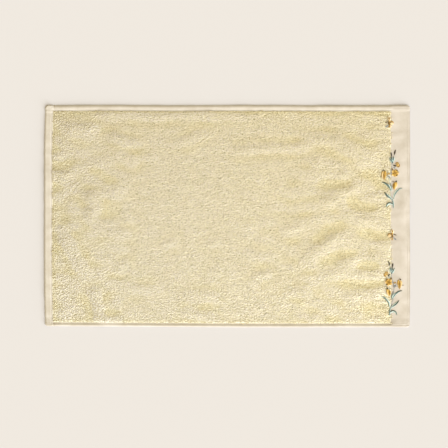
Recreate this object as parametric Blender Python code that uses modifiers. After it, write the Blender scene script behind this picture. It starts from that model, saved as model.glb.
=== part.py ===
# Hand towel: one length of terry cloth laid flat, with hems on three sides
# and a flat woven band at its right-hand end.
# Metres, +Z up. The origin is the centre of the towel on the surface it lies on.
# +X runs along the towel to the woven band, +Y across it.

from collections import namedtuple
from math import cos, hypot, radians, sin

import bmesh
import bpy
import numpy as np

MM = 0.001

# Driving sizes
LENGTH = 0.500
WIDTH = 0.304
CORNER_RADIUS = 0.004
BAND_WIDTH = 0.0245
END_HEM = 0.0096
BAND_HEM = 0.0040
FAR_HEM = 0.0070
NEAR_HEM = 0.0052

# The cloth's thickness: ground weave, and the pile that stands on both of its faces
GROUND = 0.0012
PILE = 0.0023
THICKEST = GROUND + PILE

# How many thicknesses of ground weave lie on each other
SINGLE = 1.0
SEWN_DOWN = 1.3
ROLLED_EDGE = 1.4
DOUBLED = 2.1

# Short distances between a hem's fold, its stitch line and the pile
FOLD_ROUND = 0.0014
STITCH_GROOVE = 0.0016
PILE_SLOPE = 0.0022

# Rises fainter than this lie pressed flat under the cloth's own weight
PRESSED_FLAT = 0.0001

TERRY_COLOUR = (0.78, 0.68, 0.42, 1.0)
TERRY_ROUGHNESS = 0.95

# A station is a line across the cloth: where it lies, how many layers of ground weave
# are there, how much of the pile's height, and the grid steps from the station before
Station = namedtuple("Station", "name at layers pile steps")

LENGTHWISE = (
    Station("left edge", 0.0, ROLLED_EDGE, 0.0, 0),
    Station("left fold", FOLD_ROUND, DOUBLED, 0.0, 1),
    Station("left hem", END_HEM - STITCH_GROOVE, DOUBLED, 0.0, 1),
    Station("left stitch line", END_HEM, SEWN_DOWN, 0.0, 1),
    Station("pile starts", END_HEM + PILE_SLOPE, SINGLE, 1.0, 1),
    Station("left quarter", 0.120, SINGLE, 1.0, 12),
    Station("quiet middle", 0.310, SINGLE, 1.0, 11),
    Station("pile ends", LENGTH - BAND_WIDTH - PILE_SLOPE, SINGLE, 1.0, 18),
    Station("band starts", LENGTH - BAND_WIDTH, SINGLE, 0.0, 1),
    Station("band hem", LENGTH - BAND_HEM, SINGLE, 0.0, 3),
    Station("band fold", LENGTH - FOLD_ROUND, DOUBLED, 0.0, 1),
    Station("right edge", LENGTH, ROLLED_EDGE, 0.0, 1),
)

CROSSWISE = (
    Station("near edge", 0.0, ROLLED_EDGE, 0.0, 0),
    Station("near fold", FOLD_ROUND, DOUBLED, 0.0, 1),
    Station("near stitch line", NEAR_HEM, SEWN_DOWN, 0.0, 1),
    Station("pile starts", NEAR_HEM + PILE_SLOPE, SINGLE, 1.0, 1),
    Station("pile ends", WIDTH - FAR_HEM - PILE_SLOPE, SINGLE, 1.0, 43),
    Station("far stitch line", WIDTH - FAR_HEM, SEWN_DOWN, 0.0, 1),
    Station("far fold", WIDTH - FOLD_ROUND, DOUBLED, 0.0, 1),
    Station("far edge", WIDTH, ROLLED_EDGE, 0.0, 1),
)

# How far each edge strays outward, at places along it from 0 to 1, in millimetres
EdgeStray = namedtuple("EdgeStray", "along left right near far")

EDGE_STRAYS = (
    EdgeStray(0.00, -0.9, 0.3, -1.4, -0.2),
    EdgeStray(0.15, 0.1, 0.9, -0.9, 0.4),
    EdgeStray(0.35, 0.4, 0.7, -0.3, -0.2),
    EdgeStray(0.55, 0.2, 0.2, 0.4, 0.2),
    EdgeStray(0.80, 0.3, 0.9, 0.3, -0.3),
    EdgeStray(1.00, -1.2, 0.4, 0.2, 0.0),
)

# Broad places where the cloth stands a little off the surface
# x, y: centre; long, wide: size along X and Y; high: lift. All in millimetres
Swell = namedtuple("Swell", "name x y long wide high")

SWELLS = (
    Swell("rippled end", 176, -8, 150, 250, 1.9),
    Swell("left end", -190, 10, 110, 260, 1.3),
    Swell("top left corner", -212, 118, 70, 40, 0.5),
)

# Folds: a ridge has a height above 0, a hollow one below 0
# x, y: centre; turn: degrees from +X; long, wide: size; high: height. Millimetres
Fold = namedtuple("Fold", "name x y turn long wide high")

FOLDS = (
    Fold("upper right ridge", 173, 89, -29, 60, 23, 1.9),
    Fold("its left end", 140, 105, -8, 34, 15, 0.8),
    Fold("hollow above the ring", 147, 44, 0, 44, 17, -1.4),
    Fold("hollow by the band", 204, 50, -35, 44, 26, -1.2),
    Fold("ring, top", 160, 32, 22, 62, 14, 0.9),
    Fold("ring, left", 148, 17, 0, 28, 18, 1.1),
    Fold("ring hollow", 185, 15, -12, 41, 14, -1.6),
    Fold("ring, bottom", 189, -6, -6, 60, 16, 1.4),
    Fold("ring, lower left", 163, 7, -60, 25, 16, 0.8),
    Fold("hollow under the ring", 141, -20, 27, 52, 17, -1.4),
    Fold("long slanting ridge", 124, -48, 40, 52, 20, 1.6),
    Fold("its upper end", 153, -31, 28, 38, 15, 1.0),
    Fold("hollow below it", 161, -53, 14, 41, 15, -1.2),
    Fold("lower hollow by the band", 203, -27, -5, 44, 20, -1.3),
    Fold("second slanting ridge", 155, -74, 28, 62, 17, 1.15),
    Fold("its level end", 193, -80, 0, 49, 12, 1.0),
    Fold("short hollow", 191, -67, -3, 33, 15, -1.2),
    Fold("long level hollow", 184, -93, 0, 60, 14, -1.3),
    Fold("third ridge", 192, -105, 12, 55, 16, 1.15),
    Fold("its left end", 170, -116, 70, 22, 16, 0.8),
    Fold("round hollow", 206, -132, 0, 38, 24, -1.3),
    Fold("swell at the band", 218, -49, 80, 38, 20, 1.0),
    Fold("long straight crease", 48, 92, 2, 104, 13, 1.1),
    Fold("its right end", 112, 101, 22, 54, 17, 0.6),
    Fold("ridge at the left hem", -228, 57, -5, 40, 13, 1.6),
    Fold("hollow above it", -226, 68, 5, 33, 14, -1.0),
    Fold("upright ridge", -184, 12, 84, 44, 20, 2.2),
    Fold("round hollow, left", -156, 11, 0, 27, 26, -1.0),
    Fold("slanting hollow, left", -170, 55, -20, 40, 19, -1.1),
    Fold("slanting ridge, left", -211, -49, -60, 70, 18, 2.2),
    Fold("hollow by the left hem", -223, 6, 90, 36, 20, -0.9),
    Fold("low upright ridge", -177, -127, 102, 56, 17, 1.8),
    Fold("low hollow", -193, -124, -70, 33, 18, -1.2),
    Fold("lower ridge", -116, -100, -14, 50, 15, 1.2),
    Fold("lower middle ridge", -36, -110, 0, 50, 18, 1.1),
    Fold("lower right ridge", 95, -105, 3, 41, 16, 0.8),
    Fold("band swell, top", 233, 61, 85, 44, 20, 0.9),
    Fold("band swell, middle", 239, -54, 85, 40, 20, 1.0),
    Fold("band swell, low", 232, -104, 85, 38, 20, 1.0),
    Fold("slant on the band", 242, 14, 66, 40, 16, 1.3),
    Fold("raised end of the band", 239, 148, 0, 34, 26, 1.0),
)


def clear_scene():
    for thing in list(bpy.data.objects):
        bpy.data.objects.remove(thing, do_unlink=True)


def make_collection(name):
    collection = bpy.data.collections.new(name)
    bpy.context.scene.collection.children.link(collection)
    return collection


def terry_material():
    material = bpy.data.materials.new("terry cloth")
    material.use_nodes = True
    shader = material.node_tree.nodes["Principled BSDF"]
    shader.inputs["Base Color"].default_value = TERRY_COLOUR
    shader.inputs["Roughness"].default_value = TERRY_ROUGHNESS
    shader.inputs["Metallic"].default_value = 0.0
    return material


def grid_lines(stations):
    """Spread grid lines between stations: place, layers and pile of each line."""
    lines = [(stations[0].at, stations[0].layers, stations[0].pile)]
    for before, after in zip(stations, stations[1:]):
        for step in range(1, after.steps + 1):
            share = step / after.steps
            lines.append((
                before.at + (after.at - before.at) * share,
                before.layers + (after.layers - before.layers) * share,
                before.pile + (after.pile - before.pile) * share,
            ))
    return lines


def cloth_thickness(column, row):
    layers = max(column[1], row[1])
    pile = min(column[2], row[2])
    return GROUND * layers + PILE * pile


def stray(side, along):
    places = [entry.along for entry in EDGE_STRAYS]
    sizes = [getattr(entry, side) * MM for entry in EDGE_STRAYS]
    return float(np.interp(along, places, sizes))


def uneven_outline(x, y):
    """Move a point of the true rectangle so that the edges stray as real hems do."""
    along_x = x / LENGTH + 0.5
    along_y = y / WIDTH + 0.5
    x_moved = x + stray("right", along_y) * along_x - stray("left", along_y) * (1.0 - along_x)
    y_moved = y + stray("far", along_x) * along_y - stray("near", along_x) * (1.0 - along_y)
    return x_moved, y_moved


def round_corner(x, y):
    """Draw the square end of a corner in to an arc."""
    from_x = abs(x) - (LENGTH / 2 - CORNER_RADIUS)
    from_y = abs(y) - (WIDTH / 2 - CORNER_RADIUS)
    if from_x <= 0.0 or from_y <= 0.0:
        return x, y
    pull = max(from_x, from_y) / hypot(from_x, from_y)
    x_round = LENGTH / 2 - CORNER_RADIUS + from_x * pull
    y_round = WIDTH / 2 - CORNER_RADIUS + from_y * pull
    return (x_round if x > 0.0 else -x_round), (y_round if y > 0.0 else -y_round)


def swell_height(swell, x, y):
    across = (x / MM - swell.x) / (swell.long / 2)
    along = (y / MM - swell.y) / (swell.wide / 2)
    return swell.high * MM * np.exp(-across ** 4 - along ** 4)


def fold_height(fold, x, y):
    """A fold is a long soft bump: rounded across, level along, fading at its ends."""
    turn = radians(fold.turn)
    away_x = x / MM - fold.x
    away_y = y / MM - fold.y
    along = (away_x * cos(turn) + away_y * sin(turn)) / (fold.long / 2)
    across = (away_y * cos(turn) - away_x * sin(turn)) / (fold.wide / 2)
    return fold.high * MM * np.exp(-across ** 2 - along ** 4)


def lift(x, y):
    """How far the cloth's underside stands off the surface it lies on."""
    height = sum(swell_height(swell, x, y) for swell in SWELLS)
    height += sum(fold_height(fold, x, y) for fold in FOLDS)
    return max(0.0, height - PRESSED_FLAT)


def lay_grid(columns, rows):
    """The cloth's underside as a grid whose lines follow the stations."""
    mesh = bmesh.new()
    across, along = len(columns) - 1, len(rows) - 1
    bmesh.ops.create_grid(mesh, x_segments=across, y_segments=along, size=0.5)
    places = []
    for vert in mesh.verts:
        column = columns[round((vert.co.x + 0.5) * across)]
        row = rows[round((vert.co.y + 0.5) * along)]
        x, y = round_corner(column[0] - LENGTH / 2, row[0] - WIDTH / 2)
        x, y = uneven_outline(x, y)
        vert.co = (x, y, lift(x, y))
        places.append(cloth_thickness(column, row))
    centre_on_origin(mesh)
    return mesh, places


def centre_on_origin(mesh):
    xs = [vert.co.x for vert in mesh.verts]
    ys = [vert.co.y for vert in mesh.verts]
    for vert in mesh.verts:
        vert.co.x -= (min(xs) + max(xs)) / 2
        vert.co.y -= (min(ys) + max(ys)) / 2


def thicken(towel, thicknesses):
    """Raise the cloth's upper face over its underside, thick at the pile, thin at the band."""
    group = towel.vertex_groups.new(name="thickness")
    for index, thickness in enumerate(thicknesses):
        group.add([index], thickness / THICKEST, "REPLACE")
    solid = towel.modifiers.new("cloth thickness", "SOLIDIFY")
    solid.thickness = THICKEST
    solid.offset = 1.0
    solid.vertex_group = group.name


def build_towel(collection):
    grid, thicknesses = lay_grid(grid_lines(LENGTHWISE), grid_lines(CROSSWISE))
    mesh = bpy.data.meshes.new("towel")
    grid.to_mesh(mesh)
    grid.free()
    mesh.shade_smooth()
    mesh.materials.append(terry_material())
    towel = bpy.data.objects.new("towel", mesh)
    collection.objects.link(towel)
    thicken(towel, thicknesses)
    return towel


def main():
    clear_scene()
    build_towel(make_collection("hand_towel"))


main()
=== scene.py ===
# %% [markdown]
# # A small hand towel, laid flat
#
# The real towel is one length of cotton terry. Warp threads are pulled up into loops on both
# faces, which makes the soft yellow pile. At one end the weaver stops making loops for about
# 25 mm, so a flat cream band is left. The long sides and the far end are folded over and sewn
# down as hems, and two flower sprigs and two bees are embroidered where pile and band meet.
#
# This lesson dresses a plain solid of that towel. Everything is worked out in the cloth's own
# measure first, millimetres along and across the towel, and then laid on its folds.

# %% Load the solid towel
from collections import namedtuple
from math import cos, pi, radians, sin

import bpy
import numpy as np
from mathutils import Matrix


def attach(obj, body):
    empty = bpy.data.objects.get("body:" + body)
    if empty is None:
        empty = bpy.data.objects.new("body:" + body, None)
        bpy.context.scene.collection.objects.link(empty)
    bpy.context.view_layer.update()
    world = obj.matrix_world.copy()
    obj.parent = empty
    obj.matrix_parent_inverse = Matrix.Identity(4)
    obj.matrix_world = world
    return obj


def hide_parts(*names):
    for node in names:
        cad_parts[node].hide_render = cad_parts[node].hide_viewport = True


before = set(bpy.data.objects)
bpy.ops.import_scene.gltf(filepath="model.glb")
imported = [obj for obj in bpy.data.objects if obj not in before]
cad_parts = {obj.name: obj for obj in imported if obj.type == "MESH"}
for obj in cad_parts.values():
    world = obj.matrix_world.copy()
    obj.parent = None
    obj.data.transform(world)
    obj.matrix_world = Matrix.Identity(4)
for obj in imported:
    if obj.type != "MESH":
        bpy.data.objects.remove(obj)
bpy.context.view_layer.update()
MM = 0.001

# %% [markdown]
# ## The sizes a weaver would write down
#
# Lengths are in millimetres, measured from the towel's centre: `a` runs along it towards the
# woven band and `b` across it. The hems are not equally wide, because they are folded by eye.

# %% Cloth sizes
LENGTH = 500.0
WIDTH = 304.0
CORNER_RADIUS = 4.0
BAND_WIDTH = 24.5
END_HEM = 11.2
BAND_HEM = 4.0
FAR_HEM = 8.2
NEAR_HEM = 5.5

LEFT = -LENGTH / 2
RIGHT = LENGTH / 2
NEAR = -WIDTH / 2
FAR = WIDTH / 2
PILE_LEFT = LEFT + END_HEM
PILE_RIGHT = RIGHT - BAND_WIDTH
PILE_NEAR = NEAR + NEAR_HEM
PILE_FAR = FAR - FAR_HEM
print("pile field, mm:", round(PILE_RIGHT - PILE_LEFT, 1), "by", round(PILE_FAR - PILE_NEAR, 1))

# %% [markdown]
# ## Edges that are nearly straight
#
# No sewn edge is a ruled line. Six places along each edge say how far it strays outward, and a
# point inside the cloth moves by its share of the stray of the two edges it lies between.

# %% Uneven outline
EdgeStray = namedtuple("EdgeStray", "along left right near far")

EDGE_STRAYS = (
    EdgeStray(0.00, -0.9, 0.3, -1.4, -0.2),
    EdgeStray(0.15, 0.1, 0.9, -0.9, 0.4),
    EdgeStray(0.35, 0.4, 0.7, -0.3, -0.2),
    EdgeStray(0.55, 0.2, 0.2, 0.4, 0.2),
    EdgeStray(0.80, 0.3, 0.9, 0.3, -0.3),
    EdgeStray(1.00, -1.2, 0.4, 0.2, 0.0),
)


def stray(side, along):
    places = [entry.along for entry in EDGE_STRAYS]
    return np.interp(along, places, [getattr(entry, side) for entry in EDGE_STRAYS])


def round_corner(a, b):
    """Draw the square end of each corner in to an arc."""
    from_a = np.abs(a) - (RIGHT - CORNER_RADIUS)
    from_b = np.abs(b) - (FAR - CORNER_RADIUS)
    in_corner = (from_a > 0) & (from_b > 0)
    pull = np.where(in_corner, np.maximum(from_a, from_b) / np.maximum(np.hypot(from_a, from_b), 1e-9), 1.0)
    a_round = np.sign(a) * (RIGHT - CORNER_RADIUS + from_a * pull)
    b_round = np.sign(b) * (FAR - CORNER_RADIUS + from_b * pull)
    return np.where(in_corner, a_round, a), np.where(in_corner, b_round, b)


def outline(a, b):
    """Cloth measure to places on the table, with rounded corners and straying edges."""
    a, b = round_corner(np.asarray(a, float), np.asarray(b, float))
    along, across = a / LENGTH + 0.5, b / WIDTH + 0.5
    x = a + stray("right", across) * along - stray("left", across) * (1 - along)
    y = b + stray("far", along) * across - stray("near", along) * (1 - across)
    return x, y


# %% [markdown]
# ## Folds
#
# Terry is springy, so even a towel smoothed out by hand keeps ripples one or two millimetres high. A cloth
# simulation would give ripples, but not these ones, so each main fold is placed one by one as a long soft
# bump. Heights below zero are hollows. They only show where a broad swell first lifts the cloth, because
# cloth can't sink into the table.

# %% Tables of swells and folds
Swell = namedtuple("Swell", "name x y long wide high")

SWELLS = (
    Swell("rippled end", 176, -8, 150, 250, 1.9),
    Swell("left end", -190, 10, 110, 260, 1.3),
    Swell("top left corner", -212, 118, 70, 40, 0.5),
)

Fold = namedtuple("Fold", "name x y turn long wide high")

FOLDS = (
    Fold("upper right ridge", 173, 89, -29, 60, 23, 1.9),
    Fold("its left end", 140, 105, -8, 34, 15, 0.8),
    Fold("hollow above the ring", 147, 44, 0, 44, 17, -1.4),
    Fold("hollow by the band", 204, 50, -35, 44, 26, -1.2),
    Fold("ring, top", 160, 32, 22, 62, 14, 0.9),
    Fold("ring, left", 148, 17, 0, 28, 18, 1.1),
    Fold("ring hollow", 185, 15, -12, 41, 14, -1.6),
    Fold("ring, bottom", 189, -6, -6, 60, 16, 1.4),
    Fold("ring, lower left", 163, 7, -60, 25, 16, 0.8),
    Fold("hollow under the ring", 141, -20, 27, 52, 17, -1.4),
    Fold("long slanting ridge", 124, -48, 40, 52, 20, 1.6),
    Fold("its upper end", 153, -31, 28, 38, 15, 1.0),
    Fold("hollow below it", 161, -53, 14, 41, 15, -1.2),
    Fold("lower hollow by the band", 203, -27, -5, 44, 20, -1.3),
    Fold("second slanting ridge", 155, -74, 28, 62, 17, 1.15),
    Fold("its level end", 193, -80, 0, 49, 12, 1.0),
    Fold("short hollow", 191, -67, -3, 33, 15, -1.2),
    Fold("long level hollow", 184, -93, 0, 60, 14, -1.3),
    Fold("third ridge", 192, -105, 12, 55, 16, 1.15),
    Fold("its left end", 170, -116, 70, 22, 16, 0.8),
    Fold("round hollow", 206, -132, 0, 38, 24, -1.3),
    Fold("swell at the band", 218, -49, 80, 38, 20, 1.0),
    Fold("long straight crease", 48, 92, 2, 104, 13, 1.1),
    Fold("its right end", 112, 101, 22, 54, 17, 0.6),
    Fold("ridge at the left hem", -228, 57, -5, 40, 13, 1.6),
    Fold("hollow above it", -226, 68, 5, 33, 14, -1.0),
    Fold("upright ridge", -184, 12, 84, 44, 20, 2.2),
    Fold("round hollow, left", -156, 11, 0, 27, 26, -1.0),
    Fold("slanting hollow, left", -170, 55, -20, 40, 19, -1.1),
    Fold("slanting ridge, left", -211, -49, -60, 70, 18, 2.2),
    Fold("hollow by the left hem", -223, 6, 90, 36, 20, -0.9),
    Fold("low upright ridge", -177, -127, 102, 56, 17, 1.8),
    Fold("low hollow", -193, -124, -70, 33, 18, -1.2),
    Fold("lower ridge", -116, -100, -14, 50, 15, 1.2),
    Fold("lower middle ridge", -36, -110, 0, 50, 18, 1.1),
    Fold("lower right ridge", 95, -105, 3, 41, 16, 0.8),
    Fold("band swell, top", 233, 61, 85, 44, 20, 0.9),
    Fold("band swell, middle", 239, -54, 85, 40, 20, 1.0),
    Fold("band swell, low", 232, -104, 85, 38, 20, 1.0),
    Fold("slant on the band", 242, 14, 66, 40, 16, 1.0),
    Fold("raised end of the band", 239, 148, 0, 34, 26, 0.9),
)

# Ridges too small for the solid: they only shade the cloth
SMALL_FOLDS = (
    Fold("ridge along the far hem", -78, 137, 0, 200, 14, 1.1),
    Fold("top left ridge", -200, 118, 2, 42, 18, 1.6),
    Fold("slanting, upper left", -141, 104, -16, 44, 13, 1.6),
    Fold("second, upper left", -136, 79, -28, 28, 16, 1.6),
    Fold("third, upper left", -53, 105, 20, 42, 13, 1.0),
    Fold("beside the round hollow", -157, 29, -20, 28, 13, 0.8),
    Fold("faint slant", -163, -20, -12, 49, 14, 0.8),
    Fold("short, low left", -144, -69, 45, 24, 13, 1.0),
    Fold("corner, low left", -219, -130, 40, 20, 13, 0.9),
    Fold("by the near hem, left", -160, -142, 0, 42, 11, 0.8),
    Fold("by the near hem, middle", -37, -136, -12, 50, 14, 1.1),
    Fold("short, middle left", -77, -37, 24, 24, 13, 0.8),
    Fold("short, middle", -18, -33, 20, 22, 13, 0.8),
    Fold("short, low middle", -18, -78, -15, 20, 13, 0.9),
    Fold("level, middle right", 48, -55, 0, 40, 13, 0.8),
    Fold("slanting, middle right", 46, -82, 17, 34, 13, 0.9),
    Fold("slanting, before the ring", 89, -17, 14, 36, 13, 1.1),
    Fold("small knot", 121, 71, 0, 14, 12, 0.8),
    Fold("second small knot", 160, 58, 60, 16, 12, 0.8),
    Fold("corner, low right", 203, -142, 8, 28, 12, 0.8),
    Fold("small rise", 40, -16, 25, 44, 16, 0.5),
    Fold("along the band", 241, -20, 90, 240, 14, 0.5),
    Fold("along the band, upper end", 248, 116, 86, 62, 13, 0.6),
    Fold("curl of the left edge", -250, 0, 90, 320, 12, 0.5),
    Fold("curl of the far edge", 0, 152, 0, 520, 12, 0.25),
)
print(len(SWELLS), "swells,", len(FOLDS), "folds and", len(SMALL_FOLDS), "small folds")

# %% How high the cloth rises
PRESSED_FLAT = 0.1
RIPPLE_LONG = 46.0
RIPPLE_WIDE = 15.0
RIPPLE_HIGH = 0.17


def soft_waves(x, y, size, seed, count=26):
    """Smooth random hills of about one size: waves in many directions, added up."""
    dice = np.random.default_rng(seed)
    total = np.zeros(np.shape(x))
    for turn, reach, phase in zip(
        dice.uniform(0, 2 * pi, count), dice.uniform(0.7, 1.5, count), dice.uniform(0, 2 * pi, count)
    ):
        total += np.sin((x * cos(turn) + y * sin(turn)) * 2 * pi / (size * reach) + phase)
    return total / np.sqrt(count / 2)


def swell_height(swell, x, y):
    along = (x - swell.x) / (swell.long / 2)
    across = (y - swell.y) / (swell.wide / 2)
    return swell.high * np.exp(-(along**4) - across**4)


def fold_height(fold, x, y):
    turn = radians(fold.turn)
    along = ((x - fold.x) * cos(turn) + (y - fold.y) * sin(turn)) / (fold.long / 2)
    across = ((y - fold.y) * cos(turn) - (x - fold.x) * sin(turn)) / (fold.wide / 2)
    return fold.high * np.exp(-(across**2) - along**4)


def rise(x, y):
    """Height of the cloth's underside over the table."""
    height = sum(swell_height(swell, x, y) for swell in SWELLS)
    height = height + sum(fold_height(fold, x, y) for fold in FOLDS + SMALL_FOLDS)
    height = height + RIPPLE_HIGH * soft_waves(x * RIPPLE_WIDE / RIPPLE_LONG, y, RIPPLE_WIDE, seed=3)
    return np.maximum(0.0, height - PRESSED_FLAT)


border_x, border_y = outline(
    np.concatenate([np.linspace(LEFT, RIGHT, 200)] * 2 + [np.full(200, LEFT), np.full(200, RIGHT)]),
    np.concatenate([np.full(200, NEAR), np.full(200, FAR)] + [np.linspace(NEAR, FAR, 200)] * 2),
)
MIDDLE_X = (border_x.min() + border_x.max()) / 2
MIDDLE_Y = (border_y.min() + border_y.max()) / 2
print("outline, mm:", round(np.ptp(border_x), 1), "by", round(np.ptp(border_y), 1))

# %% [markdown]
# ## How thick the cloth is
#
# A hem is the ground weave folded over, so it is twice as thick as the band, and its stitch
# line presses it down again. Each edge has a short profile: places in from the edge, how many
# layers lie there, and how much of the pile's bed there is. The rounded fold of a hem also
# curls up a little underneath.

# %% Profiles in from each edge
GROUND = 1.15
BED = 0.75
Profile = namedtuple("Profile", "inward layers bed", defaults=(0.0,))


def profile(*rows):
    return tuple(Profile(*row) for row in rows)


LEFT_PROFILE = profile(
    (0.0, 0.75), (0.5, 1.2), (1.2, 1.75), (2.2, 2.1),
    (8.0, 2.2), (8.8, 2.0), (9.4, 1.5), (10.0, 1.9),
    (10.8, 1.8), (END_HEM, 1.1), (END_HEM + 1.4, 1.0, 1.0), (600.0, 1.0, 1.0),
)
FAR_PROFILE = profile(
    (0.0, 0.5), (0.5, 0.85), (1.2, 1.35), (2.2, 1.9),
    (3.4, 2.05), (4.8, 2.0), (5.8, 1.65), (6.8, 1.15),
    (FAR_HEM, 0.95), (FAR_HEM + 1.4, 1.0, 1.0), (400.0, 1.0, 1.0),
)
NEAR_PROFILE = profile(
    (0.0, 1.15), (0.25, 1.6), (0.8, 2.0), (1.6, 2.25),
    (2.6, 2.15), (3.6, 1.75), (4.4, 1.35), (NEAR_HEM, 1.15),
    (NEAR_HEM + 1.2, 1.0, 1.0), (400.0, 1.0, 1.0),
)
RIGHT_PROFILE = profile(
    (0.0, 1.3), (0.3, 1.4), (1.1, 1.12), (2.7, 1.02),
    (BAND_HEM - 0.6, 1.06), (BAND_HEM, 0.98),
    (BAND_WIDTH + 1.5, 1.0), (BAND_WIDTH + 6.0, 1.0, 1.0), (600.0, 1.0, 1.0),
)
# The hems run on over the band, wider and flatter, where no pile hides their stitch lines
BAND_FAR_PROFILE = profile(
    (0.0, 1.3), (0.5, 1.4), (1.3, 1.5), (2.3, 1.6),
    (3.1, 1.65), (3.9, 1.5), (4.6, 1.65), (6.6, 1.55),
    (8.2, 1.0), (400.0, 1.0, 1.0),
)
BAND_NEAR_PROFILE = profile(
    (0.0, 1.15), (0.25, 1.6), (1.0, 2.1), (2.0, 2.1),
    (2.8, 1.6), (3.6, 1.95), (9.4, 1.9), (10.3, 1.0),
    (11.2, 1.05), (400.0, 1.0, 1.0),
)
CURL = 0.25
CURL_REACH = 1.0
CORNER_LAYERS = 0.25
SEAM_DEEP = 0.5
SEAM_WIDE = 0.8
SIDE_SEAM = 10.5
SIDE_LAYER_FADES = 4.0
END_LAYER_FADES = 0.8
SEAM_INTO_PILE = 0.6
END_SEAM_STOPS = (5.0, 7.0)
BAND_BLEND = 1.5


def read_profile(entries, inward):
    places = [entry.inward for entry in entries]
    layers = np.interp(inward, places, [entry.layers for entry in entries])
    bed = np.interp(inward, places, [entry.bed for entry in entries])
    return layers, bed


def seam(distance):
    """A narrow dip along a line."""
    return SEAM_DEEP * np.exp(-((distance / SEAM_WIDE) ** 2))


def corner_layers(a, b):
    """The end hem is turned over the side hems: thicker there, with a dip where each layer ends."""
    on_end = np.interp(a, [PILE_LEFT - END_LAYER_FADES, PILE_LEFT], [1.0, 0.0])
    from_side = np.minimum(FAR - b, b - NEAR)
    on_side = np.interp(from_side, [SIDE_SEAM - SIDE_LAYER_FADES, SIDE_SEAM], [1.0, 0.0])
    beside_side_hem = np.interp(from_side, END_SEAM_STOPS, [1.0, 0.0])
    dips = seam(from_side - SIDE_SEAM) * on_end
    dips = dips + seam(a - PILE_LEFT - SEAM_INTO_PILE) * beside_side_hem
    return CORNER_LAYERS * on_end * on_side - dips


def read_hem(entries, band_entries, inward, on_band):
    """A side hem's profile, turning into its flatter one over the band."""
    layers, bed = read_profile(entries, inward)
    band_layers, band_bed = read_profile(band_entries, inward)
    return layers + (band_layers - layers) * on_band, bed + (band_bed - bed) * on_band


def cloth_faces(a, b):
    """Height of the cloth's upper face and of its underside, over the rise of the folds."""
    on_band = np.interp(a, [PILE_RIGHT - BAND_BLEND, PILE_RIGHT + BAND_BLEND], [0.0, 1.0])
    sides = (
        read_profile(LEFT_PROFILE, a - LEFT),
        read_profile(RIGHT_PROFILE, RIGHT - a),
        read_hem(NEAR_PROFILE, BAND_NEAR_PROFILE, b - NEAR, on_band),
        read_hem(FAR_PROFILE, BAND_FAR_PROFILE, FAR - b, on_band),
    )
    layers = np.maximum.reduce([side[0] for side in sides]) + corner_layers(a, b)
    folded_edge = np.minimum(a - LEFT, np.minimum(b - NEAR, FAR - b))
    fold_round = np.interp(folded_edge, [0.0, 0.25, 0.7, 1.3], [0.53, 0.75, 0.94, 1.0])
    fold_round = fold_round * np.interp(RIGHT - a, [0.0, 0.12], [0.85, 1.0])
    bed = np.minimum.reduce([side[1] for side in sides])
    inward = np.minimum(folded_edge, RIGHT - a)
    upper = GROUND * layers * fold_round + BED * bed
    under = CURL * np.clip(1 - inward / CURL_REACH, 0, 1) ** 2
    return upper, under


def lay(a, b, above=0.0):
    """A place on the cloth, `above` millimetres over its upper face, in metres."""
    a, b = np.asarray(a, float), np.asarray(b, float)
    x, y = outline(a, b)
    upper, _ = cloth_faces(a, b)
    return np.stack([x - MIDDLE_X, y - MIDDLE_Y, rise(x, y) + upper + above], axis=-1) * MM


# %% [markdown]
# ## Making meshes from arrays
#
# Thousands of loops and stitches are far quicker to make as arrays of points than as thousands
# of objects. Two helpers do it: one turns points and four-cornered faces into an object, and one
# wraps a tube round many centre lines at once. Each tube also gets its own small cell of an
# image map, so that its colours can be baked for other programs.

# %% Mesh helpers
MAP_NAME = "OFBake"
CELL_MARGIN = 0.1


def mesh_object(name, points, faces, corner_map=None):
    mesh = bpy.data.meshes.new(name)
    mesh.vertices.add(len(points))
    mesh.vertices.foreach_set("co", np.asarray(points, np.float32).ravel())
    mesh.loops.add(faces.size)
    mesh.loops.foreach_set("vertex_index", faces.astype(np.int32).ravel())
    mesh.polygons.add(len(faces))
    mesh.polygons.foreach_set("loop_start", np.arange(len(faces), dtype=np.int32) * 4)
    mesh.update(calc_edges=True)
    mesh.shade_smooth()
    if corner_map is not None:
        layer = mesh.uv_layers.new(name=MAP_NAME)
        layer.uv.foreach_set("vector", corner_map.astype(np.float32).ravel())
    piece = bpy.data.objects.new(name, mesh)
    bpy.context.scene.collection.objects.link(piece)
    return piece


def give_points(piece, name, values):
    """Store one number on every point, for the material to read."""
    layer = piece.data.attributes.new(name, "FLOAT", "POINT")
    layer.data.foreach_set("value", np.asarray(values, np.float32).ravel())


def unit(vectors):
    return vectors / np.maximum(np.linalg.norm(vectors, axis=-1, keepdims=True), 1e-12)


def tube_points(lines, radii, sides, across=None):
    """Rings of points round each centre line. lines: tubes x rings x 3."""
    heading = unit(np.gradient(lines, axis=1))
    if across is None:
        across = unit(np.cross(heading, [0.0, 0.0, 1.0]))
    else:
        across = np.broadcast_to(across[:, None, :], lines.shape)
    up = np.cross(heading, across)
    angles = np.arange(sides) * 2 * pi / sides
    ring = across[:, :, None, :] * np.cos(angles)[None, None, :, None]
    ring = ring + up[:, :, None, :] * np.sin(angles)[None, None, :, None]
    return lines[:, :, None, :] + ring * radii[:, :, None, None]


def tube_faces(tubes, rings, sides, capped):
    """Four-cornered faces along every tube, and its two ends if they are capped."""
    ring, side = np.meshgrid(np.arange(rings - 1), np.arange(sides), indexing="ij")
    onward = (side + 1) % sides
    here, beside = ring * sides + side, ring * sides + onward
    walls = np.stack([here, beside, beside + sides, here + sides], axis=-1).reshape(-1, 4)
    if capped:
        last = (rings - 1) * sides
        walls = np.concatenate([walls, [[0, 3, 2, 1]], [[last, last + 1, last + 2, last + 3]]])
    return (walls[None] + (np.arange(tubes) * rings * sides)[:, None, None]).reshape(-1, 4)


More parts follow.
